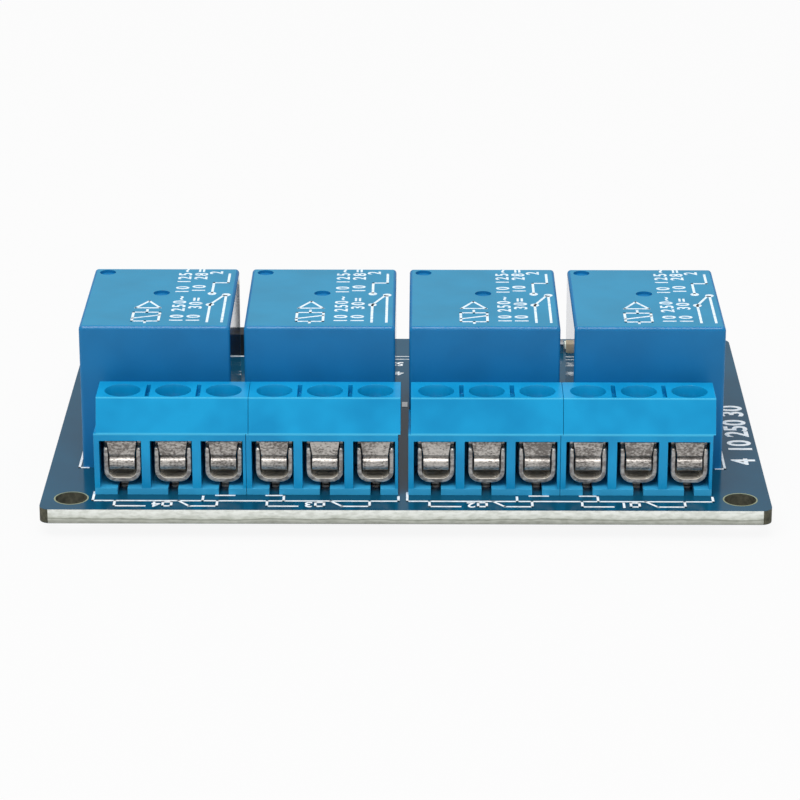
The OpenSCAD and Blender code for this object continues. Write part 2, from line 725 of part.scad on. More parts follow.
// The armature with its contact leaf, tipped open about the yoke's upper edge
module relay_armature(i) {
    front_y = coil_y - pole_face_d / 2 - armature_reach;
    at_relay(i) translate([0, hinge_y, armature_h]) rotate([-armature_open, 0, 0])
        translate([0, -hinge_y, 0]) {
            color("#8f9294")
                span([-armature_w / 2, front_y, 0], [armature_w / 2, yoke_back_y, armature_t]);
            color("#c98f4e") difference() {
                span([-leaf_w / 2, contact_y - button_d / 2 - leaf_reach, armature_t],
                     [leaf_w / 2, yoke_back_y, armature_t + leaf_t]);
                translate([0, contact_y, 0])
                    cylinder(d = button_rivet_d, h = armature_t + leaf_t + past, $fn = 24);
            }
            color("#d9d9d6") translate([0, contact_y, armature_t]) {
                translate([0, 0, -button_h]) cylinder(d = button_d, h = button_h, $fn = 32);
                cylinder(d = button_rivet_d, h = leaf_t, $fn = 24);
                translate([0, 0, leaf_t]) cylinder(d = button_d, h = button_h, $fn = 32);
            }
        }
}

// One fixed contact: a lead that rises at the side and an arm that reaches to the middle
module fixed_contact(side, h) {
    color("#c08a4a") {
        translate([side * relay_lead_span / 2, contact_lead_y, -z_board])
            slab([contact_lead_w, strip_t, z_board + h + strip_t]);
        translate([side * (relay_lead_span / 4 - button_d / 4 + contact_lead_w / 4), contact_y, h])
            slab([relay_lead_span / 2 + button_d / 2 + contact_lead_w / 2, strip_w, strip_t]);
    }
}

module relay_contacts(i) {
    at_relay(i) {
        fixed_contact(-1, lower_strip_h);
        fixed_contact(1, upper_strip_h);
        color("#d9d9d6") translate([0, contact_y, 0]) {
            translate([0, 0, lower_strip_h + strip_t]) cylinder(d = button_d, h = button_h, $fn = 32);
            translate([0, 0, upper_strip_h - button_h]) cylinder(d = button_d, h = button_h, $fn = 32);
        }
        color("#c08a4a") {
            translate([0, com_lead_y, -z_board])
                slab([contact_lead_w, strip_t, z_board + base_top_h]);
            translate([0, com_lead_y, base_top_h])
                slab([leaf_w, strip_t, armature_h - base_top_h - com_strip_gap]);
        }
        color("#c9ccd0") for (s = [-1, 1])
            translate([s * relay_lead_span / 2, coil_lead_y, -z_board])
                slab([coil_lead_w, coil_lead_w, z_board + base_top_h + coil_lead_rise]);
    }
}

// ---- Input side ----

// Four-lead packages: each lead leaves the body at half its height and turns down at its row
module optocouplers() {
    shoulder_h = opto_lift + opto_h / 2;
    shoulder_l = (opto_row_span - opto_l + opto_lead_t) / 2;
    for (i = [0:relay_count - 1]) translate([opto_x(i), y_opto, z_board]) {
        color("#1d1f21") difference() {
            slab([opto_w, opto_l, opto_h], opto_lift);
            translate([opto_mark_inset - opto_w / 2, opto_mark_inset - opto_l / 2,
                       opto_lift + opto_h - opto_mark_depth])
                cylinder(d = opto_mark_d, h = past, $fn = 24);
        }
        color("#c9ccd0") for (sx = [-1, 1], sy = [-1, 1])
            translate([sx * header_pitch / 2, sy * opto_row_span / 2, 0]) {
                slab([opto_lead_w, opto_lead_t, z_board + shoulder_h], -z_board);
                translate([0, sy * (opto_lead_t - shoulder_l) / 2, shoulder_h - opto_lead_t])
                    slab([opto_shoulder_w, shoulder_l, opto_lead_t]);
            }
    }
}

// A small body on leads that bend down and out to lie flat on the board;
// they stand at the given places along x, before the body and behind it
module gull_piece(body, span, lead_w, before, behind) {
    half = body[1] / 2;
    bend_h = gull_lift + body[2] / 2;
    color("#202326") slab(body, gull_lift);
    color("#c9ccd0") for (end = [[-1, before], [1, behind]], x = end[1])
        translate([x, 0, 0]) across(lead_w)
            polygon([for (p = [[half - gull_t, bend_h], [half + 2 * gull_t, bend_h],
                               [half + 2 * gull_t, gull_t], [span / 2, gull_t], [span / 2, 0],
                               [half + gull_t, 0], [half + gull_t, bend_h - gull_t],
                               [half - gull_t, bend_h - gull_t]])
                [end[0] * p[0], p[1]]]);
}

module transistors() {
    for (i = [0:relay_count - 1]) translate([relay_x(i) - transistor_left, y_driver, z_board])
        gull_piece([transistor_l, transistor_w, transistor_h], transistor_span, transistor_lead_w,
                   [-transistor_pitch, transistor_pitch], [0]);
}

module diodes() {
    for (i = [0:relay_count - 1])
        translate([relay_x(i) + diode_right, y_driver, z_board]) rotate([0, 0, 90])
            gull_piece([diode_w, diode_l, diode_h], diode_span, diode_lead_w, [0], [0]);
}

// A chip along x, with soldered ends that stand a little proud of its body
module chip(h, tint) {
    color(tint) slab([chip_l - 2 * chip_end_proud, chip_w - 2 * chip_end_proud, h - chip_end_proud]);
    color("#cfd2d4") for (s = [-1, 1])
        translate([s * (chip_l - chip_end) / 2, 0, 0]) slab([chip_end, chip_w, h]);
}

// One light beside each optocoupler, and the power light beside the supply header
module indicator_leds() {
    for (i = [0:relay_count - 1])
        translate([relay_x(i) + chip_right, y_opto + chip_row, z_board]) chip(led_h, "#e9efe4");
    translate([supply_pin_x(0) - power_led_gap, y_header + power_led_back, z_board])
        rotate([0, 0, 90]) chip(led_h, "#e9efe4");
}

module resistors() {
    for (i = [0:relay_count - 1], k = [-1, 0])
        translate([relay_x(i) + chip_right, y_opto + k * chip_row, z_board])
            chip(resistor_h, "#202326");
}

// A strip of eight-sided cells, one for each pin
module header_strip(count) {
    w = header_pitch / 2;
    d = header_w / 2;
    c = cell_chamfer;
    difference() {
        for (k = [0:count - 1]) translate([k * header_pitch, 0, 0]) linear_extrude(header_w)
            polygon([[w, d - c], [w - c, d], [c - w, d], [-w, d - c],
                     [-w, c - d], [c - w, -d], [w - c, -d], [w, c - d]]);
        for (k = [0:count - 1]) translate([k * header_pitch, 0, -past])
            slab([pin_w, pin_w, header_w + 2 * past]);
    }
}

// Square pins with pointed tops
module header_pins(count) {
    shaft_l = z_board + header_w + pin_free_l - pin_tip_l;
    for (k = [0:count - 1]) translate([k * header_pitch, 0, -z_board]) {
        slab([pin_w, pin_w, shaft_l]);
        translate([0, 0, shaft_l]) rotate([0, 0, 45])
            cylinder(d1 = pin_w * sqrt(2), d2 = pin_tip_w * sqrt(2), h = pin_tip_l, $fn = 4);
    }
}

module input_header() {
    color("#14191f") translate([input_pin_x(0), y_header, z_board]) header_strip(input_pin_count);
}

module input_pins() {
    color("#c9c4b4") translate([input_pin_x(0), y_header, z_board]) header_pins(input_pin_count);
}

module supply_header() {
    color("#14191f") translate([supply_pin_x(0), y_header, z_board]) header_strip(supply_pin_count);
}

module supply_pins() {
    color("#c9c4b4") translate([supply_pin_x(0), y_header, z_board]) header_pins(supply_pin_count);
}

// The cap that bridges two pins of the supply header, with the spring clip inside it
module jumper_cap() {
    room = seat_gap + clip_t;
    clip_top_h = jumper_h - clip_depth + clip_t;
    translate([supply_pin_x(1.5), y_header, z_board + header_w + seat_gap]) {
        color("#20262b") difference() {
            slab([header_pitch + jumper_d, jumper_d, jumper_h]);
            for (s = [-1, 1]) translate([s * header_pitch / 2, 0, -past])
                slab([pin_w + 2 * room, pin_w + 2 * seat_gap, jumper_h + 2 * past]);
            slab([header_pitch, pin_w + 2 * seat_gap, clip_t + 2 * seat_gap],
                 clip_top_h - clip_t - seat_gap);
        }
        color("#c9b27a") {
            for (s = [-1, 1]) translate([s * (header_pitch - pin_w - clip_t) / 2, 0, clip_lift])
                slab([clip_t, pin_w, clip_top_h - clip_lift]);
            translate([0, 0, clip_top_h - clip_t]) slab([header_pitch - pin_w, pin_w, clip_t]);
        }
    }
}

// ---- Assembly ----

pcb();
for (i = [0:3]) {
    terminal_block(i);
    clamp_cages(i);
    wire_guards(i);
    relay_case(i);
    relay_base(i);
    relay_yoke(i);
    relay_coil(i);
    relay_armature(i);
    relay_contacts(i);
}
for (i = [0:11]) clamp_screw(i);
optocouplers();
indicator_leds();
transistors();
diodes();
resistors();
input_header();
input_pins();
supply_header();
supply_pins();
jumper_cap();
solder_joints();
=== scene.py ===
import bpy
import bmesh
import json
import math
from mathutils import Matrix, Vector


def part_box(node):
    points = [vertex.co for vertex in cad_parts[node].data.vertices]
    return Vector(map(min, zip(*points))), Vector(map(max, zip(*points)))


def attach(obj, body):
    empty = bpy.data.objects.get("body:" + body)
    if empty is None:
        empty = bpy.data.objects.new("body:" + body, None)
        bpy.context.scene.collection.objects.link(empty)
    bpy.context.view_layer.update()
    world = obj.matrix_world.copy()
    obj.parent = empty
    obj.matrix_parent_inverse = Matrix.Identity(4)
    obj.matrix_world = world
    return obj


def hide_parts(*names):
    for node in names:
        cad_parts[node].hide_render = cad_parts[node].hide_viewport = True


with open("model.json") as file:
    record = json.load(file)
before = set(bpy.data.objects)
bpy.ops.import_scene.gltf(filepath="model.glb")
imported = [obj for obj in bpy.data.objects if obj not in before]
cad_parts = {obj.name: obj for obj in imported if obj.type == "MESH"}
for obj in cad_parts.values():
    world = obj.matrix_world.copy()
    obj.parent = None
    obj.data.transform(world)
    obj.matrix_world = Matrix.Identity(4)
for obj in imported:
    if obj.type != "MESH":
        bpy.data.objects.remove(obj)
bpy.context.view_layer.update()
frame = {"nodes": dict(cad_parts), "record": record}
mm = 0.001
scene = bpy.context.scene
nodes = frame["nodes"]
relayCount = 4
poleCount = 12
scene.view_settings.view_transform = "Standard"


camera = {
    "place": (1.44, -333.0, 127.47),  # millimetres
    "pitch": 20.16,  # degrees below the horizon
    "turn": 0.37,
    "lens": 150,
}
studio = {
    "floorSide": 6000,
    "floorShadow": 0.09,  # share of the floor's own shading that shows
    "horizon": 0.29,  # strength of the sky at the horizon and overhead
    "zenith": 0.96,
    "keySize": 0.7,  # metres
    "keyPower": 5.85,
    "keyPlace": (-0.1, -0.45, 0.85),
}


def makeCamera():
    made = bpy.data.objects.new("camera", bpy.data.cameras.new("camera"))
    made.location = Vector(camera["place"]) * mm
    made.rotation_euler = (math.radians(90 - camera["pitch"]), 0, math.radians(camera["turn"]))
    made.data.lens = camera["lens"]
    made.data.clip_start = 0.01
    made.data.clip_end = 20
    scene.collection.objects.link(made)
    scene.camera = made


def srgb(code):
    parts = [int(code[k:k + 2], 16) / 255 for k in (1, 3, 5)]
    return tuple(c / 12.92 if c < 0.04045 else ((c + 0.055) / 1.055) ** 2.4 for c in parts) + (1,)


def addNode(tree, kind, settings=None, links=None):
    made = tree.nodes.new("ShaderNode" + kind)
    for key, value in (settings or {}).items():
        if isinstance(key, str) and hasattr(made, key):
            setattr(made, key, value)
        else:
            made.inputs[key].default_value = value
    for key, (source, output) in (links or {}).items():
        tree.links.new(source.outputs[output], made.inputs[key])
    return made


def seenDirectly(tree):  # 1 for rays that show the background, in the camera, in metal or in clear resin
    path = addNode(tree, "LightPath")
    both = addNode(tree, "Math", {"operation": "MAXIMUM"},
                   {0: (path, "Is Camera Ray"), 1: (path, "Is Glossy Ray")})
    return addNode(tree, "Math", {"operation": "MAXIMUM"},
                   {0: (both, 0), 1: (path, "Is Transmission Ray")})


def areaLamp(name, place, target, size, power):
    lamp = bpy.data.lights.new(name, "AREA")
    lamp.shape = "DISK"
    lamp.size = size
    lamp.energy = power
    made = bpy.data.objects.new(name, lamp)
    made.location = place
    made.rotation_euler = (Vector(target) - Vector(place)).to_track_quat("-Z", "Y").to_euler()
    scene.collection.objects.link(made)


def makeStudio():
    world = bpy.data.worlds.new("studio")  # a white tent, brighter towards the top
    world.use_nodes = True
    scene.world = world
    tree = world.node_tree
    tree.nodes["Background"].inputs["Color"].default_value = (1, 1, 1, 1)
    coords = addNode(tree, "TexCoord")
    apart = addNode(tree, "SeparateXYZ", {}, {0: (coords, "Generated")})
    level = addNode(tree, "MapRange", {"To Min": studio["horizon"], "To Max": studio["zenith"]},
                    {"Value": (apart, "Z")})
    tree.links.new(level.outputs["Result"], tree.nodes["Background"].inputs["Strength"])

    floorMesh = bmesh.new()
    bmesh.ops.create_grid(floorMesh, x_segments=1, y_segments=1, size=studio["floorSide"] / 2)
    floor = toObject("floor", floorMesh, flat=True)
    paper = bpy.data.materials.new("seamlessPaper")  # matt paper sweep
    paper.use_nodes = True
    tree = paper.node_tree
    tree.nodes.remove(tree.nodes["Principled BSDF"])
    matt = addNode(tree, "BsdfDiffuse", {"Color": srgb("#cacaca")})
    white = addNode(tree, "Emission", {"Color": (1, 1, 1, 1), "Strength": 1.0})
    direct = seenDirectly(tree)
    share = addNode(tree, "MapRange", {"To Min": 0.0, "To Max": 1 - studio["floorShadow"]},
                    {"Value": (direct, 0)})
    mix = addNode(tree, "MixShader", {}, {0: (share, "Result"), 1: (matt, 0), 2: (white, 0)})
    tree.links.new(mix.outputs[0], tree.nodes["Material Output"].inputs["Surface"])
    floor.data.materials.append(paper)

    areaLamp("keyLamp", studio["keyPlace"], (0, 0, 0), studio["keySize"], studio["keyPower"])


# Mesh helpers: shapes are made in millimetres

def toObject(name, bm, materials=(), flat=False):
    mesh = bpy.data.meshes.new(name)
    bm.to_mesh(mesh)
    bm.free()
    mesh.transform(Matrix.Scale(mm, 4))
    made = bpy.data.objects.new(name, mesh)
    scene.collection.objects.link(made)
    for material in materials:
        mesh.materials.append(material)
    if not flat:
        mesh.shade_smooth()
        mesh.set_sharp_from_angle(angle=math.radians(35))
    return made


def dress(made, body, replaced=()):
    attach(made, body)
    if replaced:
        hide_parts(*replaced)
    return made


def addTo(bm, part, place=(0, 0, 0), turn=0.0, material=0):  # copies a finished shape to its place
    for face in part.faces:
        face.material_index = material
    mesh = bpy.data.meshes.new("part")
    part.to_mesh(mesh)
    mesh.transform(Matrix.Translation(place) @ Matrix.Rotation(math.radians(turn), 4, "Z"))
    bm.from_mesh(mesh)
    bpy.data.meshes.remove(mesh)


def block(size, bevel=0.0, segments=2):  # stands on z = 0, centred
    bm = bmesh.new()
    bmesh.ops.create_cube(bm, size=1)
    bmesh.ops.scale(bm, vec=Vector(size), verts=bm.verts)
    bmesh.ops.translate(bm, vec=(0, 0, size[2] / 2), verts=bm.verts)
    if bevel:
        bmesh.ops.bevel(bm, geom=bm.edges[:], offset=bevel, segments=segments, profile=0.5,
                        affect="EDGES", material=-1)
    return bm


def addBar(bm, start, end, width, low, high):  # a flat bar of a line's width between two points
    a, b = Vector(start), Vector(end)
    part = block(((b - a).length + width, width, high - low))
    middle = (a + b) / 2
    addTo(bm, part, (middle.x, middle.y, low), math.degrees(math.atan2((b - a).y, (b - a).x)))
    part.free()


def addLine(bm, points, width, low, high):
    for a, b in zip(points, points[1:]):
        addBar(bm, a, b, width, low, high)


def turned(profile, steps=24, closed=True):  # an outline in (radius, z) turned about the z axis
    bm = bmesh.new()
    verts = [bm.verts.new((r, 0, z)) for r, z in profile]
    pairs = zip(verts, verts[1:] + verts[:1]) if closed else zip(verts, verts[1:])
    edges = [bm.edges.new(pair) for pair in pairs]
    bmesh.ops.spin(bm, geom=verts + edges, cent=(0, 0, 0), axis=(0, 0, 1), angle=math.tau,
                   steps=steps, use_merge=True)
    bmesh.ops.remove_doubles(bm, verts=bm.verts, dist=1e-5)
    bmesh.ops.recalc_face_normals(bm, faces=bm.faces)
    return bm


def ring(inner, outer, low, high, steps=32):
    return turned([(inner, low), (outer, low), (outer, high), (inner, high)], steps)


def ribbon(points, width, thick, bend=0.0):  # a strip bent along points (y, z), its width along x
    bm = bmesh.new()
    verts = [bm.verts.new((-width / 2, y, z)) for y, z in points]
    edges = [bm.edges.new(pair) for pair in zip(verts, verts[1:])]
    grown = bmesh.ops.extrude_edge_only(bm, edges=edges)["geom"]
    far = [g for g in grown if isinstance(g, bmesh.types.BMVert)]
    bmesh.ops.translate(bm, vec=(width, 0, 0), verts=far)
    if bend:
        folds = [e for e in bm.edges if len(e.link_faces) == 2]
        bmesh.ops.bevel(bm, geom=folds, offset=bend, segments=4, profile=0.5, affect="EDGES", material=-1)
    bmesh.ops.recalc_face_normals(bm, faces=bm.faces)
    bmesh.ops.solidify(bm, geom=bm.faces[:], thickness=thick)
    bmesh.ops.recalc_face_normals(bm, faces=bm.faces)
    return bm


def addDigits(bm, text, middle, height, turn, low, high,  # plain numerals
              bold=0.0, align="CENTER", spread=1.0):
    curve = bpy.data.curves.new("digits", "FONT")
    curve.body = text
    curve.align_x = align
    curve.align_y = "CENTER"
    curve.size = height / 0.73  # a numeral is 0.73 of the letter size high
    curve.resolution_u = 4
    curve.extrude = (high - low) / 2
    curve.offset = bold
    curve.space_character = spread
    made = bpy.data.objects.new("digits", curve)
    scene.collection.objects.link(made)
    bpy.context.view_layer.update()
    mesh = bpy.data.meshes.new_from_object(made.evaluated_get(bpy.context.evaluated_depsgraph_get()))
    mesh.transform(Matrix.Translation((middle[0], middle[1], (low + high) / 2))
                   @ Matrix.Rotation(math.radians(turn), 4, "Z"))
    bm.from_mesh(mesh)
    bpy.data.objects.remove(made)
    bpy.data.meshes.remove(mesh)


def boxOf(name):  # a node's lowest and highest corner, in millimetres
    return [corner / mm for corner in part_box(name)]


def newMaterial(name, colour, roughness, metallic=0.0):
    made = bpy.data.materials.new(name)
    made.use_nodes = True
    tree = made.node_tree
    shader = tree.nodes["Principled BSDF"]
    shader.inputs["Base Color"].default_value = srgb(colour)
    shader.inputs["Roughness"].default_value = roughness
    shader.inputs["Metallic"].default_value = metallic
    return made, tree, shader


def noiseAt(tree, sizeMm, detail=2.0, stretch=(1, 1, 1)):  # sizeMm is the grain's width on the surface
    coords = addNode(tree, "TexCoord")
    mapping = addNode(tree, "Mapping", {"Scale": stretch}, {"Vector": (coords, "Object")})
    return addNode(tree, "TexNoise", {"Scale": 1 / (sizeMm * mm), "Detail": detail},
                   {"Vector": (mapping, 0)})


def ramp(tree, source, *stops):  # colours over a value, as (place, colour)
    made = addNode(tree, "ValToRGB", {}, {"Fac": (source, 0)})
    elements = made.color_ramp.elements
    while len(elements) < len(stops):
        elements.new(0.5)
    for element, (place, colour) in zip(elements, stops):
        element.position = place
        element.color = srgb(colour)
    return made


def tint(tree, shader, source, darker, lighter, low=0.35, high=0.65):
    tree.links.new(ramp(tree, source, (low, darker), (high, lighter)).outputs["Color"],
                   shader.inputs["Base Color"])


def varyRoughness(tree, shader, source, least, most):
    spread = addNode(tree, "MapRange", {"From Min": 0.3, "From Max": 0.7, "To Min": least,
                                        "To Max": most}, {"Value": (source, 0)})
    tree.links.new(spread.outputs["Result"], shader.inputs["Roughness"])


def relief(tree, shader, source, depthMm, strength=1.0):
    bump = addNode(tree, "Bump", {"Distance": depthMm * mm, "Strength": strength},
                   {"Height": (source, 0)})
    tree.links.new(bump.outputs["Normal"], shader.inputs["Normal"])
    return bump


def between(tree, axis, low, high):  # 1 where the object coordinate lies between two places, in millimetres
    coords = addNode(tree, "TexCoord")
    apart = addNode(tree, "SeparateXYZ", {}, {0: (coords, "Object")})
    over = addNode(tree, "Math", {"operation": "GREATER_THAN", 1: low * mm}, {0: (apart, axis)})
    under = addNode(tree, "Math", {"operation": "LESS_THAN", 1: high * mm}, {0: (apart, axis)})
    return addNode(tree, "Math", {"operation": "MULTIPLY"}, {0: (over, 0), 1: (under, 0)})


def laminateUnderSolderMask(boardLow, boardHigh):  # cured epoxy ink over glass cloth: glossy, a little uneven
    made, tree, shader = newMaterial("laminateUnderSolderMask", "#0b4a66", 0.16)
    shader.inputs["IOR"].default_value = 1.35
    cloud = noiseAt(tree, 9.0)
    mask = ramp(tree, cloud, (0.3, "#09455f"), (0.7, "#0d506c"))
    sides = between(tree, "Z", boardLow.z + 0.02, boardHigh.z - 0.02)  # the sawn sides show the glass cloth
    wave = noiseAt(tree, 1.3, 3.0, (0.3, 0.3, 1))
    coords = addNode(tree, "TexCoord")
    apart = addNode(tree, "SeparateXYZ", {}, {0: (coords, "Object")})
    height = addNode(tree, "MapRange", {"From Min": boardLow.z * mm, "From Max": boardHigh.z * mm},
                     {"Value": (apart, "Z")})
    wavy = addNode(tree, "Math", {"operation": "MULTIPLY_ADD", 1: 0.45},
                   {0: (wave, 0), 2: (height, "Result")})
    plies = ramp(tree, wavy, (0.3, "#a3a59c"), (0.46, "#bfc2b8"), (0.56, "#979a8f"), (0.63, "#d6dad0"),
                 (0.85, "#e9ece5"), (1.0, "#f3f6f0"))
    torn = ramp(tree, noiseAt(tree, 0.3, 3.0, (0.4, 0.4, 1)), (0.35, "#bcbeb6"), (0.6, "#ffffff"))
    cloth = addNode(tree, "Mix", {"data_type": "RGBA", "blend_type": "MULTIPLY", 0: 0.4},
                    {6: (plies, "Color"), 7: (torn, "Color")})
    inside = addNode(tree, "Math", {"operation": "MULTIPLY"},
                     {0: (between(tree, "X", boardLow.x + 0.02, boardHigh.x - 0.02), 0),
                      1: (between(tree, "Y", boardLow.y + 0.02, boardHigh.y - 0.02), 0)})
    corner = addNode(tree, "Math", {"operation": "MULTIPLY"},  # the corners are milled, the long sides broken
                     {0: (inside, 0), 1: (sides, 0)})
    # partly the bare drilled laminate's own darker colour, partly painted shade: the hole walls are darker
    # than the sawn sides, as they lie in shade
    drilled = ramp(tree, noiseAt(tree, 0.5), (0.3, "#3c3d33"), (0.7, "#5b5a4b"))
    wall = addNode(tree, "Mix", {"data_type": "RGBA"},
                   {0: (corner, 0), 6: (cloth, 2), 7: (drilled, "Color")})
    both = addNode(tree, "Mix", {"data_type": "RGBA"},
                   {0: (sides, 0), 6: (mask, "Color"), 7: (wall, 2)})
    tree.links.new(both.outputs[2], shader.inputs["Base Color"])
    rough = addNode(tree, "MapRange", {"To Min": 0.16, "To Max": 0.75}, {"Value": (sides, 0)})
    tree.links.new(rough.outputs["Result"], shader.inputs["Roughness"])
    relief(tree, shader, noiseAt(tree, 0.9), 0.004)
    return made


def alongEdge(tree, y, z, reach):  # 1 near an edge that runs along x, fading out within reach
    coords = addNode(tree, "TexCoord")
    flat = addNode(tree, "VectorMath", {"operation": "MULTIPLY", 1: (0, 1, 1)}, {0: (coords, "Object")})
    away = addNode(tree, "VectorMath", {"operation": "DISTANCE", 1: (0, y * mm, z * mm)}, {0: (flat, 0)})
    return addNode(tree, "MapRange", {"From Min": reach * mm, "From Max": reach * mm * 0.4},
                   {"Value": (away, "Value")})


def breakEdges(name):  # where the roof, the slant and the front of a terminal block meet, as (y, z)
    low, high = boxOf(name)
    spots = [v.co / mm for v in nodes[name].data.vertices]
    roof = min(p.y for p in spots if p.z > high.z - 0.01)
    front = max(p.z for p in spots if p.y < low.y + 0.01)
    return (roof, high.z), (low.y, front)


terminal = {
    # painted highlight along the break edges: its width and how much of it shows
    "paintedHighlightWidth": 0.16,  # millimetres
    "paintedHighlightShare": 0.75,
    "sill": 0.72,  # the painted bounce light on its foot reaches this far above the board
    # share of the painted bounce light on the foot
    "paintedBounceShare": 0.3,
}


def toned(tree, colour, mask, share, tone):  # a share of another tone where the mask is 1
    part = addNode(tree, "Math", {"operation": "MULTIPLY", 1: share}, {0: mask})
    made = addNode(tree, "Mix", {"data_type": "RGBA", 7: srgb(tone)}, {0: (part, 0), 6: colour})
    return made, 2


def mouldedPolyamide(edges, sill):  # satin from a polished tool, a faint flow pattern; painted highlights along the break edges and painted bounce light on the foot
    made, tree, shader = newMaterial("mouldedPolyamide", "#0897ce", 0.3)
    shader.inputs["IOR"].default_value = 1.36
    flow = ramp(tree, noiseAt(tree, 5.0), (0.35, "#058dc4"), (0.65, "#109dd4")), "Color"
    for y, z in edges:
        # painted highlight: a lighter tone along each break edge, where light catches it
        rubbed = alongEdge(tree, y, z, terminal["paintedHighlightWidth"])
        flow = toned(tree, flow, (rubbed, "Result"), terminal["paintedHighlightShare"], "#4bbfe6")
    foot = between(tree, "Z", sill - 2, sill)  # painted light: paler near the board, as light bounced up from it
    flow = toned(tree, flow, (foot, 0), terminal["paintedBounceShare"], "#62c6ea")
    tree.links.new(flow[0].outputs[flow[1]], shader.inputs["Base Color"])
    relief(tree, shader, noiseAt(tree, 0.25, 3.0), 0.004, 0.6)
    return made


def mouldedPolyester(caseLow, caseHigh):  # the sides are polished, the front, the back and the roof satin
    made, tree, shader = newMaterial("mouldedPolyester", "#047dac", 0.3)
    shader.inputs["IOR"].default_value = 1.45
    skin = 0.42  # the roundings belong to the satin faces
    roof = between(tree, "Z", caseHigh.z - 0.02, caseHigh.z + 1)
    cloud = noiseAt(tree, 5.0)
    # painted light and shade: the walls take a darker copy of the blue than the roof
    wallShadeTone = ramp(tree, cloud, (0.35, "#036fa6"), (0.65, "#0576af"))
    top = ramp(tree, cloud, (0.35, "#0484ad"), (0.65, "#078bb6"))  # painted sheen: the roof is a lighter, greener copy of the blue, for the light it catches from above
    colour = addNode(tree, "Mix", {"data_type": "RGBA"},
                     {0: (roof, 0), 6: (wallShadeTone, "Color"), 7: (top, "Color")})
    tree.links.new(colour.outputs[2], shader.inputs["Base Color"])
    brow = addNode(tree, "Math", {"operation": "MULTIPLY"},  # the edge over the front, polished by the tool
                   {0: (between(tree, "Y", caseLow.y + 0.01, caseLow.y + skin), 0),
                    1: (between(tree, "Z", caseHigh.z - skin, caseHigh.z - 0.01), 0)})
    sides = addNode(tree, "Math", {"operation": "MULTIPLY"},
                    {0: (between(tree, "Y", caseLow.y + skin, caseHigh.y - skin), 0),
                     1: (between(tree, "Z", caseLow.z, caseHigh.z - skin), 0)})
    level = addNode(tree, "Value")
    level.outputs[0].default_value = 0.5  # roughness of the front and the back
    for part, roughness in ((roof, 0.3), (brow, 0.18), (sides, 0.08)):
        level = addNode(tree, "Mix", {3: roughness}, {0: (part, 0), 2: (level, 0)})
    tree.links.new(level.outputs[0], shader.inputs["Roughness"])
    relief(tree, shader, noiseAt(tree, 0.5, 2.0), 0.0008, 0.5)
    return made


def shearedStrip(name, darker, lighter, cut, front, grainMm):  # tin on the faces, dull steel where it is cut
    made, tree, shader = newMaterial(name, lighter, 0.4, 0.8)
    streaks = noiseAt(tree, grainMm, 4.0, (0.6, 1, 1))
    patches = noiseAt(tree, 3.0, 1.0)  # no two strips are rubbed alike
    mixed = addNode(tree, "Math", {"operation": "MULTIPLY_ADD", 1: 0.6}, {0: (patches, 0), 2: (streaks, 0)})
    skin = ramp(tree, mixed, (0.66, darker), (0.92, lighter))
    sheared = ramp(tree, streaks, (0.4, cut[0]), (0.6, cut[1]))
    face = between(tree, "Y", front - 1, front + 0.015)
    both = addNode(tree, "Mix", {"data_type": "RGBA"},
                   {0: (face, 0), 6: (skin, "Color"), 7: (sheared, "Color")})
    tree.links.new(both.outputs[2], shader.inputs["Base Color"])
    varyRoughness(tree, shader, streaks, 0.26, 0.46)
    relief(tree, shader, streaks, 0.015, 0.7)
    return made, tree, shader, both


cage = {
    "floorOverBoard": 1.6,  # millimetres
    "ribPitch": 0.4,
}


def ribbedStrip(front, floorZ):  # the cage: fine ribs across its floor hold the wire; the floor is painted paler and made less metallic, as painted light where it is lit
    made, tree, shader, colour = shearedStrip("ribbedTinPlate", "#9c978f", "#e6e3dc", ("#7f7b79", "#bdbab6"),
                                              front, 0.3)
    coords = addNode(tree, "TexCoord")
    ribs = addNode(tree, "TexWave", {"bands_direction": "Y", "Distortion": 1.5,
                                     "Scale": math.pi / 10 / (cage["ribPitch"] * mm)},
                   {"Vector": (coords, "Object")})
    floor = addNode(tree, "Math", {"operation": "MULTIPLY"},
                    {0: (between(tree, "Z", floorZ - 0.2, floorZ + 0.4), 0),
                     1: (between(tree, "Y", front + 0.015, front + 9), 0)})
    # painted light: the floor's colour is a pale, lit copy with rib stripes
    litFloorPaint = ramp(tree, ribs, (0.2, "#a89f90"), (0.8, "#efe8da"))
    both = addNode(tree, "Mix", {"data_type": "RGBA"},
                   {0: (floor, 0), 6: (colour, 2), 7: (litFloorPaint, "Color")})
    tree.links.new(both.outputs[2], shader.inputs["Base Color"])
    metallic = addNode(tree, "MapRange", {"To Min": 0.8, "To Max": 0.25}, {"Value": (floor, 0)})
    tree.links.new(metallic.outputs["Result"], shader.inputs["Metallic"])
    height = addNode(tree, "Math", {"operation": "MULTIPLY"}, {0: (ribs, 0), 1: (floor, 0)})
    relief(tree, shader, height, 0.08)
    return made


def plainMetal(name, colour, smooth, rough, grainMm=0.5):
    made, tree, shader = newMaterial(name, colour, smooth, 1.0)
    varyRoughness(tree, shader, noiseAt(tree, grainMm, 3.0), smooth, rough)
    return made


def matteMoulding(name, darker, lighter, roughness, grainMm=0.3):
    made, tree, shader = newMaterial(name, darker, roughness)
    tint(tree, shader, noiseAt(tree, 2.5), darker, lighter)
    relief(tree, shader, noiseAt(tree, grainMm, 3.0), 0.01, 0.7)
    return made


def matteInk(name, thin, thick):  # thick matt ink, a little thinner here and there
    made, tree, shader = newMaterial(name, thick, 0.6)
    tint(tree, shader, noiseAt(tree, 0.5, 3.0), thin, thick, 0.25, 0.5)
    return made


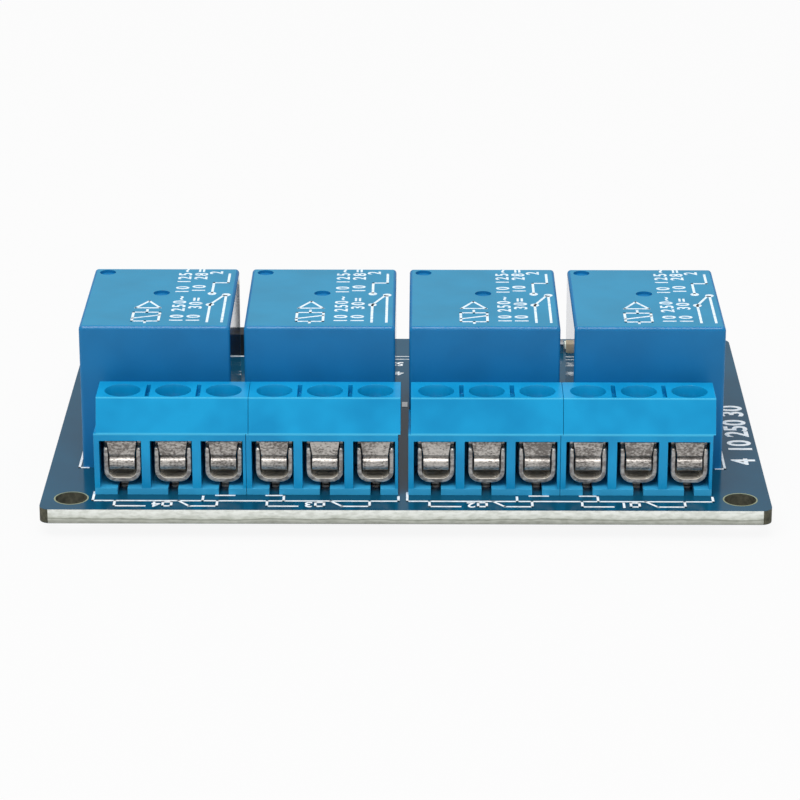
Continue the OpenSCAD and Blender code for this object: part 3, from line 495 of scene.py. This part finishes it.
def windingAndBobbin(low, high):  # enamelled copper between two nylon flanges
    made, tree, shader = newMaterial("enamelledCopperOnNylon", "#b3622c", 0.35)
    coords = addNode(tree, "TexCoord")
    turns = addNode(tree, "TexWave", {"bands_direction": "Z", "Scale": 1 / (0.9 * mm), "Distortion": 0.0},
                    {"Vector": (coords, "Object")})
    copper = ramp(tree, turns, (0.0, "#8c4317"), (1.0, "#cf7c3f"))
    inside = between(tree, "Z", low, high)
    both = addNode(tree, "Mix", {"data_type": "RGBA", 6: srgb("#e4ddcb")},
                   {0: (inside, 0), 7: (copper, "Color")})
    tree.links.new(both.outputs[2], shader.inputs["Base Color"])
    relief(tree, shader, turns, 0.05)
    return made


def clearResin():  # cast over a white base, glossy
    made, tree, shader = newMaterial("castClearResin", "#eef3e6", 0.12)
    tint(tree, shader, noiseAt(tree, 0.6), "#e3ebd6", "#f4f7ee")
    return made


cadFinish = {  # node: bevel width in millimetres
    "terminal_block": 0.025,
    "clamp_cages": 0.09,
    "wire_guards": 0.05,
    "clamp_screw": 0.04,
    "header": 0.05,
    "pins": 0.03,
    "jumper_cap": 0.08,
}


def paint(name, material):
    for held in nodes[name].material_slots:
        held.material = material


def soften(name, width, segments=2):  # rounds the edges
    weld = nodes[name].modifiers.new("weld", "WELD")
    weld.merge_threshold = 1e-6
    join = nodes[name].modifiers.new("join", "DECIMATE")  # joins the triangles of a flat face
    join.decimate_type = "DISSOLVE"
    join.angle_limit = math.radians(0.5)
    bevel = nodes[name].modifiers.new("bevel", "BEVEL")
    bevel.width = width * mm
    bevel.segments = segments
    bevel.limit_method = "ANGLE"
    bevel.angle_limit = math.radians(40)
    bevel.use_clamp_overlap = False
    bevel.harden_normals = True


def finishCadNodes():
    boardLow, boardHigh = boxOf("pcb")
    coilLow, coilHigh = boxOf("relay_coil_1")
    polyamide = mouldedPolyamide(breakEdges("terminal_block_1"), boardHigh.z + terminal["sill"])
    polyester = mouldedPolyester(*boxOf("relay_case_1"))
    cageLow = boxOf("clamp_cages_1")[0]
    cageTin = ribbedStrip(cageLow.y, boardHigh.z + cage["floorOverBoard"])
    guardTin = shearedStrip("rolledSpringStrip", "#716c68", "#c4bfb9", ("#a8a4a0", "#c4bfb9"),
                            boxOf("wire_guards_1")[0].y - 1, 0.16)[0]  # none of its face counts as cut
    zinc = plainMetal("zincPlatedSteel", "#c8cacd", 0.2, 0.38)
    iron = plainMetal("nickelPlatedIron", "#a5a8aa", 0.25, 0.4)
    bronze = plainMetal("contactBronze", "#c99558", 0.25, 0.4)
    resinBase = matteMoulding("resinSealedBase", "#262b2e", "#30363a", 0.55)
    headerNylon = matteMoulding("blackHeaderNylon", "#07090a", "#101417", 0.5)
    jumperNylon = matteMoulding("blackJumperNylon", "#101416", "#1c2226", 0.4)
    # a brass tone, darkened as painted reflection of the dark parts round the pins
    pinTin = plainMetal("brassPinWithPaintedReflection", "#94866b", 0.2, 0.34)
    winding = windingAndBobbin(coilLow.z + 0.75, coilHigh.z - 0.75)
    paint("pcb", laminateUnderSolderMask(boardLow, boardHigh))
    for i in range(1, relayCount + 1):
        paint(f"terminal_block_{i}", polyamide)
        paint(f"clamp_cages_{i}", cageTin)
        paint(f"wire_guards_{i}", guardTin)
        paint(f"relay_case_{i}", polyester)
        paint(f"relay_base_{i}", resinBase)
        paint(f"relay_yoke_{i}", iron)
        paint(f"relay_coil_{i}", winding)
        paint(f"relay_armature_{i}", iron)
        paint(f"relay_contacts_{i}", bronze)
        soften(f"terminal_block_{i}", cadFinish["terminal_block"])
        soften(f"clamp_cages_{i}", cadFinish["clamp_cages"])
        soften(f"wire_guards_{i}", cadFinish["wire_guards"], 1)
    for i in range(1, poleCount + 1):
        paint(f"clamp_screw_{i}", zinc)
        soften(f"clamp_screw_{i}", cadFinish["clamp_screw"])
    for name in ("input_header", "supply_header"):
        paint(name, headerNylon)
        soften(name, cadFinish["header"])
    for name in ("input_pins", "supply_pins"):
        paint(name, pinTin)
        soften(name, cadFinish["pins"], 1)
    paint("jumper_cap", jumperNylon)
    soften("jumper_cap", cadFinish["jumper_cap"])


boardPrint = {
    "line": 0.24,  # width of a line
    "thick": 0.03,
    "frameBack": 1.65,  # the frame's line stands this far before the terminals
    "blockBack": 0.19,  # and the terminals' own outline this far
    "symbolBack": 3.05,  # and the switch symbols this far
    "digit": 1.35,
    "smallDigit": 1.2,
    "sideDigit": 2.5,
    "hairline": 0.12,
    "backLine": 19.87,  # the line in front of the headers
    "hairlineGap": 0.95,
    "numbersBack": (14.3, 17.4),  # the numbers between two relays
}


def makeBoardPrint(ink):
    bm = bmesh.new()
    boardLow, boardHigh = boxOf("pcb")
    low, high = boardHigh.z, boardHigh.z + boardPrint["thick"]

    def line(*points):
        addLine(bm, points, boardPrint["line"], low, high)

    front = boxOf("terminal_block_1")[0].y
    y, outline = front - boardPrint["frameBack"], front - boardPrint["blockBack"]
    for first in (1, 3):  # one frame before each row of six poles
        left = boxOf(f"terminal_block_{first}")[0].x
        right = boxOf(f"terminal_block_{first + 1}")[1].x
        middle = (left + right) / 2
        line((left - 0.1, y + 2.3), (left - 0.1, y), (right - 0.2, y), (right - 0.2, y + 1.2))
        line((middle - 4.45, y), (middle - 4.45, y + 1.2))  # the terminals' outline shows by their leads
        line((middle - 3.15, outline), (middle - 1.35, outline))
        line((middle + 1.9, outline), (middle + 3.65, outline), (middle + 3.65, y))
    rise = boardPrint["symbolBack"] - boardPrint["frameBack"]
    y = front - boardPrint["symbolBack"]
    for i in range(1, relayCount + 1):  # a relay's switch: two contact lines and the arm between them
        blockLow, blockHigh = boxOf(f"terminal_block_{i}")
        x = (blockLow.x + blockHigh.x) / 2
        line((x - 5.6, y + rise), (x - 5.6, y), (x - 2.55, y))
        line((x + 0.75, y + rise), (x + 1.9, y), (x + 4.65, y), (x + 4.65, y + rise))
        addDigits(bm, str(relayCount + 1 - i), (x - 1.45, y + 0.52), boardPrint["digit"], 180, low, high, 0.03)
        line((x - 0.75, y), (x + 0.1, y), (x + 0.1, y + 1.05), (x - 0.75, y + 1.05), (x - 0.75, y))  # its coil
    caseLow = boxOf("relay_case_1")[0]
    caseHigh = boxOf(f"relay_case_{relayCount}")[1]
    for x, side in ((caseLow.x - 0.35, 1), (caseHigh.x + 0.35, -1)):  # the outline round the relays
        for y, back in ((caseLow.y - 0.1, 5.2), (caseHigh.y + 0.3, -5.2)):
            line((x + side * 0.9, y), (x, y), (x, y + back))
    addDigits(bm, "4  10 250 30", (boardHigh.x - 1.6, -4.6), boardPrint["sideDigit"], 90, low, high, 0.07)
    makeBackPrint(bm, line, low, high)
    return dress(toObject("board_print", bm, [ink], flat=True), "board")


def makeBackPrint(bm, line, low, high):  # outlines round the parts of the input side, and their numbers
    y = boardPrint["backLine"]
    for name in ("input_header", "supply_header"):
        headerLow, headerHigh = boxOf(name)
        line((headerLow.x - 0.4, y), (headerHigh.x + 0.4, y), (headerHigh.x + 0.4, headerHigh.y + 0.3),
             (headerLow.x - 0.4, headerHigh.y + 0.3), (headerLow.x - 0.4, y))
    headerLow, headerHigh = boxOf("input_header")
    for k in range(6):
        x = headerLow.x + (headerHigh.x - headerLow.x) * (k + 0.5) / 6
        addDigits(bm, str(k + 1), (x, headerHigh.y + 1.15), boardPrint["digit"], 0, low, high)
    for back in (y, y - boardPrint["hairlineGap"]):  # two hairlines along the board
        addLine(bm, [(headerHigh.x + 1.4, back), (boxOf("supply_header")[0].x - 3.4, back)],
                boardPrint["hairline"], low, high)
    for i in range(1, relayCount):  # between two relays
        x = (boxOf(f"relay_case_{i}")[1].x + boxOf(f"relay_case_{i + 1}")[0].x) / 2
        for k, back in enumerate(boardPrint["numbersBack"]):
            addDigits(bm, str(2 * i + k), (x - 0.4, back), boardPrint["smallDigit"], 180, low, high, 0.03)
    for x, y in chipPlaces("optocouplers"):  # the side of an optocoupler's first lead
        line((x - 2.75, y - 3.1), (x - 2.75, y + 3.1))
        line((x + 2.75, y - 3.1), (x + 2.75, y + 3.1))
    for x, y in chipPlaces("diodes"):
        line((x - 2.75, y + 0.95), (x + 2.75, y + 0.95))
        line((x - 2.75, y - 0.95), (x + 2.75, y - 0.95))
        line((x - 2.75, y - 0.95), (x - 2.75, y + 0.95))


solderJoint = {
    "play": 0.1,  # between the lead and its hole
    "ring": 0.42,
    "copper": 0.035,
    "tip": 0.11,
    "hollow": 2.2,  # how much the fillet curves in
}
barePad = {"width": 0.6, "length": 1.5, "right": 0.17, "front": 0.3}


def makeHoleRims(laminate):  # the solder mask stops a little outside the drilled holes
    top = boxOf("pcb")[1].z
    holes = [m for m in frame["record"]["mounts"] if m["kind"] == "bolt_pattern"][0]["dims"]
    rim = ring(holes["hole_r_mm"], holes["hole_r_mm"] + 0.14, top - 0.01, top + 0.012, 64)
    bm = bmesh.new()
    for sx in (-1, 1):
        for sy in (-1, 1):
            addTo(bm, rim, (sx * holes["spacing_x_mm"] / 2, sy * holes["spacing_y_mm"] / 2, 0))
    return dress(toObject("hole_rims", bm, [laminate]), "board")


def relayPlace(i):  # a relay's middle
    low, high = boxOf(f"relay_case_{i}")
    return (low.x + high.x) / 2, (low.y + high.y) / 2


def leadPlaces():  # every soldered lead: x, y and half its diagonal
    places = []
    for k in range(1, poleCount + 1):
        low, high = boxOf(f"clamp_screw_{k}")
        places.append(((low.x + high.x) / 2, (low.y + high.y) / 2, 0.53))
    for i in range(1, relayCount + 1):
        x, y = relayPlace(i)
        comLead = y + 7.45
        places.append((x, comLead, 0.54))
        for side in (-1, 1):
            places += [(x + side * 6, comLead - 2, 0.42), (x + side * 6, comLead - 14.2, 0.54)]
    for x, y in chipPlaces("optocouplers"):
        places += [(x + sx * 1.27, y + sy * 3.81, 0.29) for sx in (-1, 1) for sy in (-1, 1)]
    for name, count in (("input_pins", 6), ("supply_pins", 3)):
        low, high = boxOf(name)
        step = (high.x - low.x - 0.64) / (count - 1)
        places += [(low.x + 0.32 + step * k, (low.y + high.y) / 2, 0.45) for k in range(count)]
    return places


def makeSolder(solder):
    boardLow, boardHigh = boxOf("pcb")
    under, top = boardLow.z, boardHigh.z
    fillets, rings = bmesh.new(), bmesh.new()
    for x, y, lead in leadPlaces():
        neck, foot = lead + solderJoint["tip"], lead + solderJoint["play"] + solderJoint["ring"]
        profile = [(0, 0.0), (neck * 0.8, 0.0)]
        for k in range(7):  # a hollow cone, as molten solder sets
            t = k / 6
            profile.append((neck + (foot - neck) * t ** solderJoint["hollow"],
                            under * (0.03 + 0.95 * t)))
        profile += [(foot, under), (0, under)]
        part = turned(profile, 24)
        addTo(fillets, part, (x, y, 0))
        part.free()
        part = ring(lead + solderJoint["play"], foot, top, top + solderJoint["copper"])
        addTo(rings, part, (x, y, 0))
        part.free()
    dress(toObject("solder_fillets", fillets, [solder]), "board", ["solder_joints"])
    gap = (boxOf("relay_case_2")[1].x + boxOf("relay_case_3")[0].x) / 2
    pad = block((barePad["width"], barePad["length"], solderJoint["copper"]))
    addTo(rings, pad, (gap + barePad["right"], boxOf("relay_case_2")[1].y - barePad["front"], top))
    dress(toObject("plated_rings", rings, [solder]), "board")


opto = {"width": 4.6, "depth": 6.4, "height": 3.0, "lift": 0.5, "draft": 0.16, "bevel": 0.1,
        "row": 3.81, "pitch": 2.54, "lead": 0.3}
transistor = {"width": 2.9, "depth": 1.3, "height": 1.0, "lift": 0.1, "bevel": 0.07, "reach": 1.2,
              "lead": 0.12, "leadWidth": 0.4, "pitch": 1.9}
diode = {"width": 1.6, "depth": 2.7, "height": 1.1, "lift": 0.1, "bevel": 0.08, "reach": 1.85,
         "lead": 0.12, "leadWidth": 0.6, "band": 0.35}
chip = {"length": 2.0, "width": 1.25, "end": 0.4, "bevel": 0.04}


def solidBoxes(node):  # the boxes of a node's separate solids, as [left, front, right, back]
    bm = bmesh.new()
    bm.from_mesh(nodes[node].data)
    bmesh.ops.remove_doubles(bm, verts=bm.verts, dist=1e-6)
    waiting = set(bm.verts)
    boxes = []
    while waiting:
        spread, reached = [waiting.pop()], []
        while spread:
            vert = spread.pop()
            reached.append(vert.co / mm)
            for other in [edge.other_vert(vert) for edge in vert.link_edges]:
                if other in waiting:
                    waiting.remove(other)
                    spread.append(other)
        boxes.append([min(p.x for p in reached), min(p.y for p in reached),
                      max(p.x for p in reached), max(p.y for p in reached)])
    bm.free()
    return boxes


def chipPlaces(node, touch=0.3):  # middles of a node's pieces, where solids that touch make one piece
    pieces = []
    for box in solidBoxes(node):
        near = [p for p in pieces if box[0] < p[2] + touch and p[0] < box[2] + touch
                and box[1] < p[3] + touch and p[1] < box[3] + touch]
        group = near + [box]
        pieces = [p for p in pieces if p not in near]
        pieces.append([min(g[0] for g in group), min(g[1] for g in group),
                       max(g[2] for g in group), max(g[3] for g in group)])
    return sorted((round((p[0] + p[2]) / 2, 4), round((p[1] + p[3]) / 2, 4)) for p in pieces)


def drafted(size, draft, bevel):  # both halves of the mould taper from the parting line
    bm = block(size)
    bmesh.ops.bisect_plane(bm, geom=bm.verts[:] + bm.edges[:] + bm.faces[:],
                           plane_co=(0, 0, size[2] / 2), plane_no=(0, 0, 1))
    ends = [v for v in bm.verts if abs(v.co.z - size[2] / 2) > size[2] / 4]
    bmesh.ops.scale(bm, vec=(1 - draft / size[0] * 2, 1 - draft / size[1] * 2, 1), verts=ends)
    corners = [e for e in bm.edges if e.calc_face_angle(0) > math.radians(15)]
    bmesh.ops.bevel(bm, geom=corners, offset=bevel, segments=2, profile=0.5, affect="EDGES", material=-1)
    return bm


def makeOptocouplers(epoxy, tin):
    top = boxOf("pcb")[1].z
    body = drafted((opto["width"], opto["depth"], opto["height"]), opto["draft"], opto["bevel"])
    mark = ring(0.02, 0.4, 0, 0.02, 24)
    shoulder = opto["lift"] + opto["height"] / 2
    outer = opto["row"] + opto["lead"] / 2
    upper = ribbon([(opto["depth"] / 2 - 0.1, shoulder), (outer, shoulder), (outer, opto["lift"])], 1.2,
                   opto["lead"], 0.25)
    lower = ribbon([(outer, opto["lift"] + 0.1), (outer, -top + 0.05)], 0.5, opto["lead"])
    bm = bmesh.new()
    for x, y in chipPlaces("optocouplers"):
        addTo(bm, body, (x, y, top + opto["lift"]))
        addTo(bm, mark, (x - 1.3, y - 2.2, top + opto["lift"] + opto["height"] - 0.01), 0, 0)
        for side in (-1, 1):
            for turn in (0, 180):
                for part in (upper, lower):
                    addTo(bm, part, (x + side * opto["pitch"] / 2, y, top), turn, 1)
    dress(toObject("optocoupler_bodies", bm, [epoxy, tin]), "board", ["optocouplers"])


def gullWing(kind):  # one short lead, bent down to its pad
    thick, wall = kind["lead"], kind["depth"] / 2
    middle = kind["lift"] + kind["height"] / 2
    return ribbon([(wall - 0.1, middle), (wall + 0.2, middle), (wall + 0.25, thick), (kind["reach"], thick)],
                  kind["leadWidth"], thick, 0.07)


def makeTransistors(epoxy, tin):
    top = boxOf("pcb")[1].z
    body = drafted((transistor["width"], transistor["depth"], transistor["height"]), 0.06,
                   transistor["bevel"])
    lead = gullWing(transistor)
    bm = bmesh.new()
    for x, y in chipPlaces("transistors"):
        addTo(bm, body, (x, y, top + transistor["lift"]))
        for side in (-1, 1):
            addTo(bm, lead, (x + side * transistor["pitch"] / 2, y, top), 180, 1)
        addTo(bm, lead, (x, y, top), 0, 1)
    dress(toObject("transistor_bodies", bm, [epoxy, tin]), "board", ["transistors"])


def makeDiodes(epoxy, tin, ink):
    top = boxOf("pcb")[1].z
    body = drafted((diode["width"], diode["depth"], diode["height"]), 0.06, diode["bevel"])
    band = block((diode["width"] - 0.3, diode["band"], 0.02))
    lead = gullWing(diode)
    bm = bmesh.new()
    for x, y in chipPlaces("diodes"):
        addTo(bm, body, (x, y, top + diode["lift"]), 90)
        addTo(bm, band, (x - diode["depth"] / 2 + 0.5, y, top + diode["lift"] + diode["height"] - 0.01), 90, 2)
        for turn in (90, -90):
            addTo(bm, lead, (x, y, top), turn, 1)
    dress(toObject("diode_bodies", bm, [epoxy, tin, ink]), "board", ["diodes"])


def makeChips(name, node, height, materials, capped):
    top = boxOf("pcb")[1].z
    length, width, end = chip["length"], chip["width"], chip["end"]
    middle = block((length - end * 2 + 0.04, width - 0.04, height - 0.03), 0.02)
    cap = block((end, width, height if capped else height * 0.45), chip["bevel"])
    bm = bmesh.new()
    for x, y in chipPlaces(node):
        turn = 90 if node == "indicator_leds" and y > boxOf("input_header")[0].y else 0
        addTo(bm, middle, (x, y, top), turn, 0)
        for side in (-1, 1):
            shift = side * (length - end) / 2
            addTo(bm, cap, (x + (0 if turn else shift), y + (shift if turn else 0), top), turn, 1)
    dress(toObject(name, bm, materials), "board", [node])


capacitor = {"length": 3.2, "width": 1.6, "height": 1.1, "end": 0.5, "bevel": 0.06,
             "left": 2.35, "front": 0.75}  # from the supply's light


def makeCapacitor(clay, tin):  # beside the supply's light, where such boards often have one
    top = boxOf("pcb")[1].z
    power = max(chipPlaces("indicator_leds"), key=lambda place: place[1])
    x, y = power[0] - capacitor["left"], power[1] - capacitor["front"]
    bm = bmesh.new()
    addTo(bm, block((capacitor["length"] - 0.1, capacitor["width"] - 0.06, capacitor["height"] - 0.04), 0.03),
          (x, y, top + 0.01))
    for side in (-1, 1):
        addTo(bm, block((capacitor["end"], capacitor["width"], capacitor["height"]), capacitor["bevel"]),
              (x + side * (capacitor["length"] - capacitor["end"]) / 2, y, top), 0, 1)
    dress(toObject("supply_capacitor", bm, [clay, tin]), "board")


relayPrint = {
    "line": 0.26,
    "thick": 0.02,
    "digit": 1.4,
    "bold": 0.035,
    "spread": 1.3,  # letter spacing
    "front": -8.1,  # where the columns of numbers begin, from the relay's middle
}


def makeRelayPrint(i, ink):
    bm = bmesh.new()
    x, y = relayPlace(i)
    low = boxOf(f"relay_case_{i}")[1].z
    high = low + relayPrint["thick"]

    def line(*points):
        addLine(bm, [(x + a, y + b) for a, b in points], relayPrint["line"], low, high)

    line((-2.4, -7.9), (0.3, -7.9), (0.3, -5.1), (-2.4, -5.1), (-2.4, -7.9))  # the coil
    line((-2.4, -7.0), (0.3, -6.0))
    line((-1.05, -5.1), (-1.05, -4.3))
    line((-1.05, -7.9), (-1.05, -8.4))
    line((-2.3, -3.7), (0.2, -3.7), (-1.05, -1.5), (-2.3, -3.7))  # an arrow to the back
    for across, text in ((2.15, "10 250~ 10 125~"), (3.85, "10  30=  10  28=")):
        addDigits(bm, text, (x + across, y + relayPrint["front"]), relayPrint["digit"], 90, low, high,
                  relayPrint["bold"], "LEFT", relayPrint["spread"])
    line((5.25, -8.1), (5.25, -2.6))  # the changeover contact: the common line and its arm
    line((5.25, -2.6), (6.5, 0.4))
    line((5.25, 1.0), (5.25, 4.6), (6.75, 4.6), (6.75, 7.6))
    line((6.75, -8.1), (6.75, 0.6))
    dot = ring(0.16, 0.45, low, high, 20)
    for across, along in ((5.25, -2.6), (5.25, 1.0), (6.75, 0.6)):
        addTo(bm, dot, (x + across, y + along, 0))
    addDigits(bm, "2", (x + 5.4, y + 8.0), relayPrint["digit"], 90, low, high, relayPrint["bold"])
    return dress(toObject(f"relay_print_{i}", bm, [ink], flat=True), "board")


makeCamera()
makeStudio()
print("stage: camera, floor and light")
finishCadNodes()
print("stage: CAD nodes finished")
ink = matteInk("screenedInk", "#c9dbe6", "#f7fbfd")
padInk = matteInk("padPrintedInk", "#a9c6d8", "#e3f0f7")  # thinner than the board's
solder = plainMetal("brightTinSolder", "#c9ccd0", 0.14, 0.32, 0.8)
epoxy = matteMoulding("mouldedEpoxy", "#141618", "#202325", 0.5)
ceramic = matteMoulding("glazedCeramic", "#15181a", "#1f2326", 0.35)
makeBoardPrint(ink)
makeSolder(solder)
makeHoleRims(matteMoulding("bareGlassEpoxy", "#7d8467", "#98a083", 0.5))
print("stage: board print and solder")
makeOptocouplers(epoxy, solder)
makeTransistors(epoxy, solder)
makeDiodes(epoxy, solder, ink)
makeChips("light_chips", "indicator_leds", 0.8, [clearResin(), solder], False)
makeChips("resistor_chips", "resistors", 0.5, [ceramic, solder], True)
makeCapacitor(matteMoulding("firedCapacitorClay", "#b3a184", "#c9b999", 0.4), solder)
print("stage: input side")
for number in range(1, relayCount + 1):
    makeRelayPrint(number, padInk)
print("stage: relay print")
